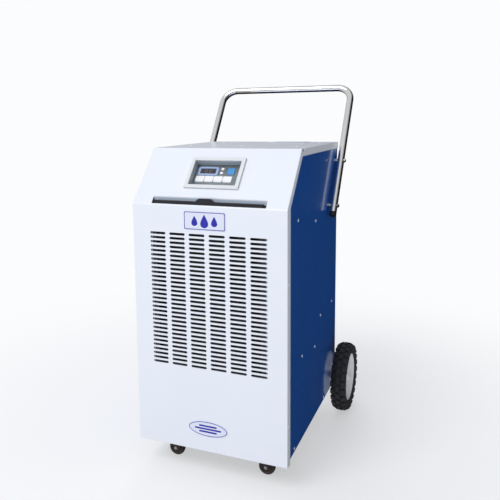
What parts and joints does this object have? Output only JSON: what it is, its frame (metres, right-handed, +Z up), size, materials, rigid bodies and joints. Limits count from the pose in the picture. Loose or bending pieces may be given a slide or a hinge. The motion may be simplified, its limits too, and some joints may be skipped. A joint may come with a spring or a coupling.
{
  "type": "commercial dehumidifier",
  "caption": "Tall wheeled commercial dehumidifier: white slotted front, slanted control face, blue sides, bent tube handle, large rear wheels and small front casters.",
  "frame": {"origin": "on the floor, under the middle of the machine's bounding box", "axes": "+Z up; the slotted front faces -Y; +X is to the right as seen from the front, along the axle"},
  "size_m": [0.634, 0.8203, 1.2367],
  "materials": {
    "white_paint": "smooth semi-gloss powder coat",
    "blue_paint": "semi-gloss powder coat",
    "galvanised": "dull zinc-plated sheet steel",
    "grey_plastic": "light grey moulded plastic",
    "dark_plate": "fine-textured grey fascia",
    "display_blue": "printed pale blue surround",
    "display_glass": "dark display window",
    "key_white": "white moulded keys",
    "key_blue": "blue moulded button",
    "black_plastic": "black moulded plastic",
    "filter_mesh": "black woven filter mesh",
    "chrome": "polished chrome plate",
    "rubber": "black rubber with moulded tread blocks",
    "rim_silver": "pressed steel, silver-white paint",
    "caster_brown": "dark brown plastic",
    "coil_metal": "finned aluminium",
    "compressor_black": "black enamel",
    "board_green": "green circuit board",
    "copper": "bare copper",
    "badge": "plain printed plate"
  },
  "bodies": {
    "cabinet": {"front_panel": "white_paint", "top_cover": "white_paint", "side_panel_right": "blue_paint", "side_panel_left": "blue_paint", "base_pan": "galvanised", "rear_panel": "blue_paint", "outlet_grille": "black_plastic", "filter_guide_left": "galvanised", "filter_guide_right": "galvanised", "control_bezel": "grey_plastic", "control_plate": "dark_plate", "control_board": "board_green", "display_frame": "display_blue", "display_window": "display_glass", "handle_tube": "chrome", "handle_plug_left": "black_plastic", "handle_plug_right": "black_plastic", "handle_bolt_upper_left": "chrome", "handle_bolt_lower_left": "chrome", "handle_bolt_upper_right": "chrome", "handle_bolt_lower_right": "chrome", "axle": "galvanised", "caster_plate_left": "galvanised", "caster_plate_right": "galvanised", "evaporator_coil": "coil_metal", "condenser_coil": "coil_metal", "drain_pan": "galvanised", "partition_shelf": "galvanised", "fan_shroud": "galvanised", "fan_motor": "compressor_black", "compressor": "compressor_black", "suction_pipe": "copper", "electrical_box": "galvanised", "drain_spout": "black_plastic", "cable_gland": "black_plastic", "upper_badge": "badge", "lower_badge": "badge"},
    "wheel_left": {"wheel_rim_left": "rim_silver", "tyre_left": "rubber", "hub_cap_left": "chrome"},
    "caster_swivel_left": {"caster_fork_left": "caster_brown", "caster_pin_left": "galvanised"},
    "caster_roller_left": {"caster_wheel_left": "caster_brown"},
    "wheel_right": {"wheel_rim_right": "rim_silver", "tyre_right": "rubber", "hub_cap_right": "chrome"},
    "caster_swivel_right": {"caster_fork_right": "caster_brown", "caster_pin_right": "galvanised"},
    "caster_roller_right": {"caster_wheel_right": "caster_brown"},
    "filter": {"filter_frame": "grey_plastic", "filter_mesh": "filter_mesh", "filter_grip": "black_plastic"},
    "fan_rotor": {"fan": "black_plastic"},
    "up_button": {"up_button": "key_white"},
    "down_button": {"down_button": "key_white"},
    "power_button": {"power_button": "key_blue"},
    "mode_key_1": {"mode_key_1": "key_white"},
    "mode_key_2": {"mode_key_2": "key_white"},
    "mode_key_3": {"mode_key_3": "key_white"},
    "mode_key_4": {"mode_key_4": "key_white"}
  },
  "joints": [
    {"name": "wheel_left_spin", "type": "hinge", "parent": "cabinet", "child": "wheel_left", "pos_m": [-0.2895, 0.20944, 0.127], "axis": [1, 0, 0], "continuous": true},
    {"name": "caster_left_swivel", "type": "hinge", "parent": "cabinet", "child": "caster_swivel_left", "pos_m": [-0.14, -0.32256, 0.084], "axis": [0, 0, 1], "continuous": true},
    {"name": "caster_left_roll", "type": "hinge", "parent": "caster_swivel_left", "child": "caster_roller_left", "pos_m": [-0.158, -0.32256, 0.027], "axis": [0, 1, 0], "continuous": true},
    {"name": "wheel_right_spin", "type": "hinge", "parent": "cabinet", "child": "wheel_right", "pos_m": [0.2895, 0.20944, 0.127], "axis": [1, 0, 0], "continuous": true},
    {"name": "caster_right_swivel", "type": "hinge", "parent": "cabinet", "child": "caster_swivel_right", "pos_m": [0.14, -0.32256, 0.084], "axis": [0, 0, 1], "continuous": true},
    {"name": "caster_right_roll", "type": "hinge", "parent": "caster_swivel_right", "child": "caster_roller_right", "pos_m": [0.158, -0.32256, 0.027], "axis": [0, 1, 0], "continuous": true},
    {"name": "filter_slide", "type": "slide", "parent": "cabinet", "child": "filter", "axis": [0, 0, 1], "range_m": [0, 0.45]},
    {"name": "fan_spin", "type": "hinge", "parent": "cabinet", "child": "fan_rotor", "pos_m": [0, -0.18857, 0.5735], "axis": [0, 1, 0], "continuous": true},
    {"name": "up_press", "type": "slide", "parent": "cabinet", "child": "up_button", "axis": [0, 0.7469, -0.6649], "range_m": [0, 0.001], "stiffness_N_per_m": 400, "springref_m": -0.001},
    {"name": "down_press", "type": "slide", "parent": "cabinet", "child": "down_button", "axis": [0, 0.7469, -0.6649], "range_m": [0, 0.001], "stiffness_N_per_m": 400, "springref_m": -0.001},
    {"name": "power_press", "type": "slide", "parent": "cabinet", "child": "power_button", "axis": [0, 0.7469, -0.6649], "range_m": [0, 0.001], "stiffness_N_per_m": 400, "springref_m": -0.001},
    {"name": "mode_key_1_press", "type": "slide", "parent": "cabinet", "child": "mode_key_1", "axis": [0, 0.7469, -0.6649], "range_m": [0, 0.001], "stiffness_N_per_m": 400, "springref_m": -0.001},
    {"name": "mode_key_2_press", "type": "slide", "parent": "cabinet", "child": "mode_key_2", "axis": [0, 0.7469, -0.6649], "range_m": [0, 0.001], "stiffness_N_per_m": 400, "springref_m": -0.001},
    {"name": "mode_key_3_press", "type": "slide", "parent": "cabinet", "child": "mode_key_3", "axis": [0, 0.7469, -0.6649], "range_m": [0, 0.001], "stiffness_N_per_m": 400, "springref_m": -0.001},
    {"name": "mode_key_4_press", "type": "slide", "parent": "cabinet", "child": "mode_key_4", "axis": [0, 0.7469, -0.6649], "range_m": [0, 0.001], "stiffness_N_per_m": 400, "springref_m": -0.001}
  ]
}
